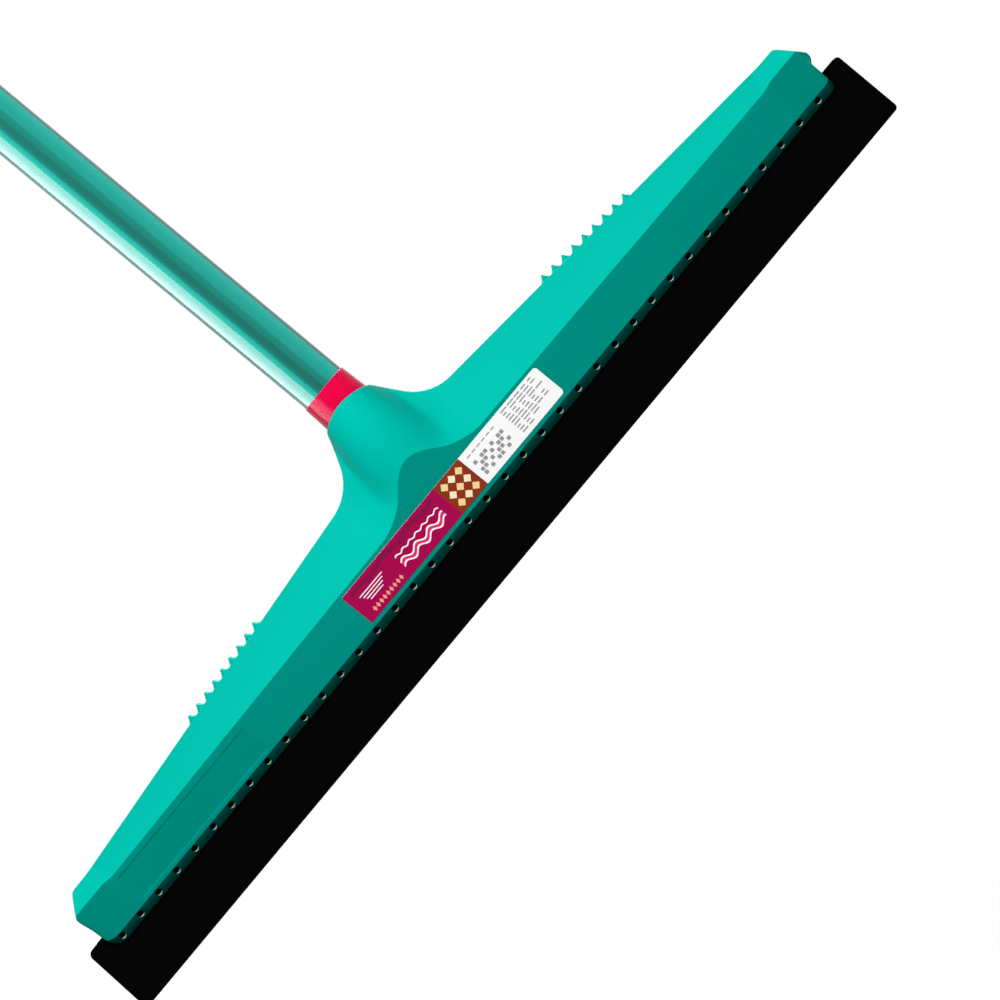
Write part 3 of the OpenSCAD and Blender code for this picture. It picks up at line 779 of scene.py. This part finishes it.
def on_face(u, v, lift):
    """A point on the sloping front face: u to the right and v up from the label's middle, lifted off it."""
    base = BEVEL_Y + (LABEL_Z - BEVEL_Z) * FACE_LEAN
    out = base + v * math.sin(FACE_ANGLE) + lift * math.cos(FACE_ANGLE)
    return (LABEL_X + u, -out, LABEL_Z + v * math.cos(FACE_ANGLE) - lift * math.sin(FACE_ANGLE))


def lozenge(u, v, wide, high):
    """Outline of a lozenge, from half its width and half its height."""
    return [(u + wide, v), (u, v + high), (u - wide, v), (u, v - high)]


def wave_band(u0, u1, v, thick, swing, length):
    """Outline of a wavy stripe."""
    places = [u0 + (u1 - u0) * i / 40 for i in range(41)]
    low = [(u, v + swing * math.sin(2 * math.pi * (u - u0) / length)) for u in places]
    return low + [(u, w + thick) for u, w in low[::-1]]


# Printed paper: matt inks under a thin varnish, mottled by the paper's fibre, which is drawn coarser than
# it is so that it shows.
FIBRE_SIZE = 1.1
inks = {"magenta": "#A6004C", "plum": "#860842", "brown": "#8A3018", "cream": "#F6D996", "ivory": "#FFEFC4",
        "white": "#FFFFFF", "grey": "#98989C", "rose": "#E0306E", "peach": "#F2A285"}
ink_slots = []
for ink, code in inks.items():
    paper, tree = new_material("printed_paper_" + ink)
    level = add_node(tree, "ShaderNodeMapRange", None,
                     {"Value": noise(tree, FIBRE_SIZE, 3.0), "To Min": 0.92, "To Max": 1.06})
    print_colour = add_node(tree, "ShaderNodeMix", {"data_type": "RGBA", "blend_type": "MULTIPLY"},
                            {"Factor": 1.0, "A": linear(code), "B": level.outputs["Result"]})
    end_material(tree, {"Base Color": print_colour.outputs["Result"], "Roughness": 0.5,
                        "Specular IOR Level": 0.15})
    ink_slots.append(paper)
ink_index = {ink: i for i, ink in enumerate(inks)}

half_u, half_v = LABEL_LONG / 2, LABEL_HIGH / 2
label_radii = [LABEL_LEFT_R, LABEL_R, LABEL_R, LABEL_LEFT_R]
magenta_radii = [LABEL_LEFT_R, 0, 0, LABEL_LEFT_R]
prints = [
    ("white", round_box(-half_u, -half_v, half_u, half_v, label_radii), 0.0, PAPER_TOP),
    ("magenta", round_box(-half_u, -half_v, MAGENTA_END, half_v, magenta_radii), PAPER_TOP, FIELD_TOP),
    ("brown", round_box(MAGENTA_END, -half_v, BROWN_END, half_v, 0), PAPER_TOP, FIELD_TOP),
    ("plum", wave_band(-67, -8, 5.2, 2.4, 0.7, 19), FIELD_TOP, SHADE_TOP),
    ("white", wave_band(-40, -9, -4.6, 3.4, 1.2, 9.3), SHADE_TOP, PRINT_TOP),
    ("rose", wave_band(-40, -9, -3.7, 1.6, 1.2, 9.3), PRINT_TOP, OVERPRINT_TOP),
    ("white", wave_band(-40, -9, 1.6, 0.7, 0.5, 4.7), SHADE_TOP, PRINT_TOP)]
for row in range(4):
    bar = round_box(-65 + row, 2.6 - row * 1.5, -49 - row * 1.4, 3.1 - row * 1.5, 0)
    prints.append(("white", bar, SHADE_TOP, PRINT_TOP))
for column in range(9):
    prints.append(("peach", lozenge(-64.2 + column * 2.4, -6.0, 0.95, 1.5), SHADE_TOP, PRINT_TOP))
for column in range(3):
    for row in range(3):
        ink = "ivory" if (column + row) % 2 else "cream"
        prints.append((ink, lozenge(0.1 + column * 5.15, -5.4 + row * 5.4, 2.3, 2.3), SHADE_TOP, PRINT_TOP))
for row, bars in enumerate((5, 5, 4, 5, 4, 5, 5, 3, 2)):
    for column in range(bars):
        u, v = 43.5 + column * 4.9, 7.6 - row * 1.75
        long = (4.2, 3.1, 4.4, 2.4, 3.7)[(row * 3 + column * 2) % 5]
        prints.append(("grey", round_box(u, v - 0.33, u + long, v + 0.33, 0), PAPER_TOP, PRINT_TOP))
for column in range(9):
    for row in range(4):
        if (column * 3 + row * 2) % 5 < 3:
            u, v = 17.5 + column * 2.35, -6.2 + row * 2.35
            prints.append(("grey", round_box(u, v, u + 1.9, v + 1.9, 0.3), PAPER_TOP, PRINT_TOP))
for column in range(6):
    u = 17.5 + column * 3.4
    prints.append(("grey", round_box(u, 5.8, u + 2.4, 6.4, 0), PAPER_TOP, PRINT_TOP))

label_verts, label_faces, label_inks = [], [], []
for ink, outline, low, high in prints:
    base = len(label_verts)
    count = len(outline)
    label_verts += [on_face(u, v, low) for u, v in outline] + [on_face(u, v, high) for u, v in outline]
    walls = [(base + k, base + (k + 1) % count, base + count + (k + 1) % count, base + count + k)
             for k in range(count)]
    label_faces += walls + [tuple(range(base + count - 1, base - 1, -1)),
                            tuple(range(base + count, base + 2 * count))]
    label_inks += [ink_index[ink]] * (count + 2)
label = mesh_piece("label_sticker", label_verts, label_faces)
for paper in ink_slots:
    label.data.materials.append(paper)
for face, ink in zip(label.data.polygons, label_inks):
    face.material_index = ink
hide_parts("label")
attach(label, "head")

# The threaded tip: one pink moulding of polypropylene. Its plug is pressed into the tube, its collar
# sits in the socket's mouth and its coarse round thread, 5 mm a turn, screws into the socket.
SPIGOT_Z = 71.0
SPIGOT_R = 9.0
SPIGOT_CHAMFER = 0.8
SPIGOT_NOSE_R = 8.3
COLLAR_FOOT_Z = 101.05
COLLAR_BEND_Z = 107.9
COLLAR_FOOT_R = 13.85
COLLAR_TOP_R = 13.25
TUBE_Z = 122.7
PLUG_R = 11.85
PLUG_LONG = 32.0
PLUG_CHAMFER = 1.0
THREAD_Z = 73.5
THREAD_TURNS = 5.0
THREAD_LEAD = 5.0
THREAD_R = 8.8
THREAD_ROUND_R = 1.2


def lathe(profile, count=96):
    """A closed skin from an outline in radius and height, turned once about the handle's axis."""
    turns = [2 * math.pi * i / count for i in range(count)]
    return skin([[(r * math.cos(a), r * math.sin(a), z) for r, z in profile] for a in turns], True)


def weld(piece):
    """Close the points that meet on the axis and turn every face outwards."""
    work = bmesh.new()
    work.from_mesh(piece.data)
    bmesh.ops.remove_doubles(work, verts=work.verts, dist=1e-7)
    bmesh.ops.dissolve_degenerate(work, edges=work.edges, dist=1e-7)
    bmesh.ops.recalc_face_normals(work, faces=work.faces)
    work.to_mesh(piece.data)
    work.free()
    smooth(piece.data)


# Glossy moulded polypropylene, hot pink: a clear skin gloss over a faintly uneven body colour, and slow
# ripples where it has shrunk in the mould.
RIPPLE_SIZE = 11.1
pink, tree = new_material("polypropylene_moulded_pink")
flow = noise(tree, RIPPLE_SIZE)
tone = mix(tree, flow, linear("#C6003A"), linear("#C6003F"))
end_material(tree, {"Base Color": tone, "Roughness": 0.22, "IOR": 1.49, "Specular IOR Level": 0.12,
                    "Specular Tint": linear("#FFA8C8"), "Subsurface Weight": 0.8,
                    "Subsurface Radius": (1.0, 0.12, 0.3), "Subsurface Scale": 0.012,
                    "Normal": bump(tree, 0.15, 0.0004, flow)})

plug_top = TUBE_Z + PLUG_LONG
tip_path = [(0, SPIGOT_Z), (SPIGOT_NOSE_R, SPIGOT_Z), (SPIGOT_R, SPIGOT_Z + SPIGOT_CHAMFER),
            (SPIGOT_R, COLLAR_FOOT_Z), (COLLAR_FOOT_R, COLLAR_FOOT_Z), (COLLAR_FOOT_R, COLLAR_BEND_Z),
            (COLLAR_TOP_R, TUBE_Z), (PLUG_R, TUBE_Z), (PLUG_R, plug_top - PLUG_CHAMFER),
            (PLUG_R - PLUG_CHAMFER, plug_top), (0, plug_top)]
tip_profile = rounded(tip_path, [0, 0.3, 0.3, 0.6, 0.5, 0.4, 0.5, 0, 0.4, 0.4, 0], 4)
tip = mesh_piece("threaded_tip_moulding", *lathe(tip_profile))
weld(tip)
thread_tree, thread_values = new_tree("tip_thread", {
    "Turns": THREAD_TURNS, "Lead": THREAD_LEAD / 1000, "Radius": THREAD_R / 1000,
    "Round": THREAD_ROUND_R / 1000})
given = add_node(thread_tree, "NodeGroupInput")
height = add_node(thread_tree, "ShaderNodeMath", {"operation": "MULTIPLY"},
                  {0: given.outputs["Turns"], 1: given.outputs["Lead"]})
helix = add_node(thread_tree, "GeometryNodeCurveSpiral", None,
                 {"Resolution": 40, "Rotations": given.outputs["Turns"],
                  "Start Radius": given.outputs["Radius"], "End Radius": given.outputs["Radius"],
                  "Height": height.outputs[0]})
raised = add_node(thread_tree, "GeometryNodeTransform", None,
                  {"Geometry": helix.outputs["Curve"], "Translation": (0, 0, THREAD_Z / 1000)})
bead = add_node(thread_tree, "GeometryNodeCurvePrimitiveCircle", None,
                {"Resolution": 12, "Radius": given.outputs["Round"]})
coil = add_node(thread_tree, "GeometryNodeCurveToMesh", None,
                {"Curve": raised.outputs["Geometry"], "Profile Curve": bead.outputs["Curve"],
                 "Fill Caps": True})
end_tree(thread_tree, [given.outputs["Base"], coil.outputs["Mesh"]], pink)
grow(tip, thread_tree, thread_values)
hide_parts("threaded_tip")
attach(tip, "handle")

# The handle's tube: thin steel strip rolled round and seam welded, cut off square at both ends. The
# sleeve hides all of it but the two cut rims.
TUBE_TOP = 1322.7
TUBE_R = 12.5
TUBE_WALL = 0.6

# Drawn steel: grey metal with fine lengthwise lines, made wider here than they are so that they show.
LINE_WIDE = 0.67
LINE_LONG = 125.0
steel, tree = new_material("steel_tube_drawn")
lines = noise(tree, LINE_WIDE, long=LINE_LONG)
rough = add_node(tree, "ShaderNodeMapRange", None, {"Value": lines, "To Min": 0.25, "To Max": 0.5})
end_material(tree, {"Base Color": linear("#B4B6B8"), "Metallic": 1.0, "Roughness": rough.outputs["Result"]})

tube_path = [(TUBE_R - TUBE_WALL, TUBE_Z), (TUBE_R, TUBE_Z), (TUBE_R, TUBE_TOP),
             (TUBE_R - TUBE_WALL, TUBE_TOP)]
tube_piece = mesh_piece("handle_tube_steel", *lathe(tube_path))
weld(tube_piece)
tube_piece.data.materials.append(steel)
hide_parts("handle_tube")
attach(tube_piece, "handle_core")

# The sleeve: a tube of teal polyester film, slipped over the steel tube and shrunk on it with heat, so that
# it fits like a skin.
SLEEVE_IN = 12.52
SLEEVE_OUT = 12.72

# Glossy film: a teal print under a clear face, with slow waves along it where the film has shrunk.
WAVE_WIDE = 16.7
WAVE_LONG = 200.0
film, tree = new_material("polyester_film_teal")
waves = noise(tree, WAVE_WIDE, 1.0, WAVE_LONG)
tone = mix(tree, waves, linear("#005048"), linear("#00544C"))
end_material(tree, {"Base Color": tone, "Metallic": 0.27, "Roughness": 0.44, "IOR": 1.55,
                    "Specular IOR Level": 0.02, "Coat Weight": 1.0, "Coat Roughness": 0.13, "Coat IOR": 1.28,
                    "Normal": bump(tree, 0.1, 0.001, waves)})

sleeve_path = [(SLEEVE_IN, TUBE_Z), (SLEEVE_OUT, TUBE_Z), (SLEEVE_OUT, TUBE_TOP), (SLEEVE_IN, TUBE_TOP)]
sleeve = mesh_piece("handle_sleeve_film", *lathe(sleeve_path, 128))
weld(sleeve)
sleeve.data.materials.append(film)
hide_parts("handle_sleeve")
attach(sleeve, "handle")

# The hanging cap: a pink moulding like the tip. A plug holds it in the tube, a slim collar covers the
# tube's end, and a flat ring above it takes a hook.
CAP_R = 12.6
CAP_FOOT_Z = 1334.7
CAP_PLUG = 25.0
STEM_R = 4.5
STEM_LONG = 10.0
EYE_Z = 1351.7
EYE_R = 6.0
RING_R = 11.5
RING_HALF = 4.5
RING_DOWN = 17.2
RING_STEPS = 96
cap_path = [(0, TUBE_TOP - CAP_PLUG), (PLUG_R - PLUG_CHAMFER, TUBE_TOP - CAP_PLUG),
            (PLUG_R, TUBE_TOP - CAP_PLUG + PLUG_CHAMFER), (PLUG_R, TUBE_TOP), (CAP_R, TUBE_TOP),
            (CAP_R, CAP_FOOT_Z), (STEM_R, CAP_FOOT_Z + STEM_LONG), (0, CAP_FOOT_Z + STEM_LONG)]
cap_verts, cap_faces = lathe(rounded(cap_path, [0, 0.4, 0.4, 0, 0.3, 2.0, 1.0, 0], 5))
rings = []
for i in range(RING_STEPS):
    a = 2 * math.pi * i / RING_STEPS
    outer = RING_R
    if math.sin(a) < 0:
        outer = min(RING_R / max(abs(math.cos(a)), 1e-6), RING_DOWN / abs(math.sin(a)))
    loop = round_box(EYE_R, -RING_HALF, outer, RING_HALF, [0.7, 1.6, 1.6, 0.7], 4)
    rings.append([(s * math.cos(a), y, EYE_Z + s * math.sin(a)) for s, y in loop])
eye_verts, eye_faces = skin(rings, True)
base = len(cap_verts)
cap = mesh_piece("hanging_cap_moulding", cap_verts + eye_verts,
                 cap_faces + [tuple(base + v for v in face) for face in eye_faces])
weld(cap)
cap.data.materials.append(pink)
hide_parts("hanging_cap")
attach(cap, "handle")

# The studio: a white floor in a white room, one softbox high in front and one behind. Five lamps beside
# the handle only show as streaks in its gloss, and a sixth fills its mouldings a little. A long lens in
# front is rolled so that the handle runs up to the left.
FLOOR_HALF = 4000.0
FLOOR_GLOW = 0.985
ROOM_LIGHT = 0.03


def seen_rays(tree):
    """1 for rays that show the studio, also mirrored or through glass, and 0 for those that light it."""
    ray = add_node(tree, "ShaderNodeLightPath")
    mirrored = add_node(tree, "ShaderNodeMath", {"operation": "MAXIMUM"},
                        {0: ray.outputs["Is Camera Ray"], 1: ray.outputs["Is Glossy Ray"]})
    seen = add_node(tree, "ShaderNodeMath", {"operation": "MAXIMUM"},
                    {0: mirrored.outputs[0], 1: ray.outputs["Is Transmission Ray"]})
    return seen.outputs[0]


floor = mesh_piece("floor", [(-FLOOR_HALF, -FLOOR_HALF, 0), (FLOOR_HALF, -FLOOR_HALF, 0),
                             (FLOOR_HALF, FLOOR_HALF, 0), (-FLOOR_HALF, FLOOR_HALF, 0)], [(0, 1, 2, 3)])

# Matt white paint: it shows white, and throws hardly any light back on the object.
paint, tree = new_material("floor_matt_white")
level = add_node(tree, "ShaderNodeMath", {"operation": "MULTIPLY"}, {0: seen_rays(tree), 1: FLOOR_GLOW})
matt = add_node(tree, "ShaderNodeBsdfDiffuse", None, {"Color": linear("#272727")})
glow = add_node(tree, "ShaderNodeEmission", None, {"Strength": level.outputs[0]})
both = add_node(tree, "ShaderNodeAddShader", None, {0: matt.outputs[0], 1: glow.outputs[0]})
add_node(tree, "ShaderNodeOutputMaterial", None, {"Surface": both.outputs[0]})
floor.data.materials.append(paint)

world = bpy.data.worlds.new("studio")
bpy.context.scene.world = world
world.use_nodes = True
tree = world.node_tree
tree.nodes.clear()
level = add_node(tree, "ShaderNodeMapRange", None,
                 {"Value": seen_rays(tree), "To Min": ROOM_LIGHT, "To Max": 1.0})
sky = add_node(tree, "ShaderNodeBackground", None,
               {"Color": linear("#FFFFFF"), "Strength": level.outputs["Result"]})
add_node(tree, "ShaderNodeOutputWorld", None, {"Surface": sky.outputs[0]})

lit = {}
for name, pieces in (("film", (tube_piece, sleeve)), ("mouldings", (tip, cap))):
    lit[name] = bpy.data.collections.new("lit_" + name)
    for piece in pieces:
        lit[name].objects.link(piece)
for name, at, aim, wide, high, watts, colour, only in (
        ("key_softbox", (-0.01, -1.06, 1.47), (0, 0, 0.06), 0.8, 0.5, 69.5, "#FFFFFF", None),
        ("left_softbox", (-0.798, -0.06, 0.35), (0, 0, 0.3), 1.02, 0.7, 41, "#FFFFFF", "film"),
        ("left_strip", (-0.765, -0.234, 0.35), (0, 0, 0.3), 0.85, 0.7, 27, "#FFFFFF", "mouldings"),
        ("left_panel", (-0.55, -0.59, 0.35), (0, 0, 0.3), 0.42, 0.7, 10, "#40FFF4", "film"),
        ("right_wash", (0.68, -0.42, 0.35), (0, 0, 0.3), 1.7, 0.7, 11, "#40FFF4", "film"),
        ("right_panel", (0.795, -0.09, 0.35), (0, 0, 0.3), 1.5, 0.7, 16, "#40FFF4", "film"),
        ("right_fill", (0.75, -0.2, 0.35), (0, 0, 0.2), 0.7, 0.7, 2, "#FFFFFF", "mouldings"),
        ("back_softbox", (0.3, 1.4, 1.1), (0, 0, 0.3), 1.2, 0.9, 50, "#FFFFFF", None)):
    lamp = bpy.data.lights.new(name, "AREA")
    lamp.shape = "RECTANGLE"
    lamp.size = wide
    lamp.size_y = high
    lamp.energy = watts
    lamp.color = linear(colour)[:3]
    light = bpy.data.objects.new(name, lamp)
    bpy.context.scene.collection.objects.link(light)
    light.location = at
    light.rotation_euler = (Vector(aim) - Vector(at)).to_track_quat("-Z", "Y").to_euler()
    if only:
        light.light_linking.receiver_collection = lit[only]
        light.visible_diffuse = name == "right_fill"
        light.visible_glossy = name != "right_fill"

# The camera stands far off, so that the view is nearly flat, and sees 0.47 m across at the object.
ROLL = math.radians(50.245)
YAW = math.radians(3.3)
LIFT = math.radians(0.7)
DISTANCE = 2.5
VIEW_WIDE = 0.47
VIEW_FIT = 0.998
SENSOR = 36
target = Vector((0.01284, 0, 0.02531))
away = Vector((math.sin(YAW) * math.cos(LIFT), -math.cos(YAW) * math.cos(LIFT), math.sin(LIFT)))
level_x = Vector((math.cos(YAW), math.sin(YAW), 0))
level_y = away.cross(level_x)
right = level_x * math.cos(ROLL) - level_y * math.sin(ROLL)
up = level_x * math.sin(ROLL) + level_y * math.cos(ROLL)
lens = bpy.data.cameras.new("camera")
lens.sensor_width = SENSOR
lens.lens = SENSOR * DISTANCE / VIEW_WIDE * VIEW_FIT
lens.clip_end = 50
camera = bpy.data.objects.new("camera", lens)
bpy.context.scene.collection.objects.link(camera)
turn = Matrix((right, up, away)).transposed()
camera.matrix_world = Matrix.Translation(target + away * DISTANCE) @ turn.to_4x4()
bpy.context.scene.camera = camera
bpy.context.scene.view_settings.view_transform = "Standard"
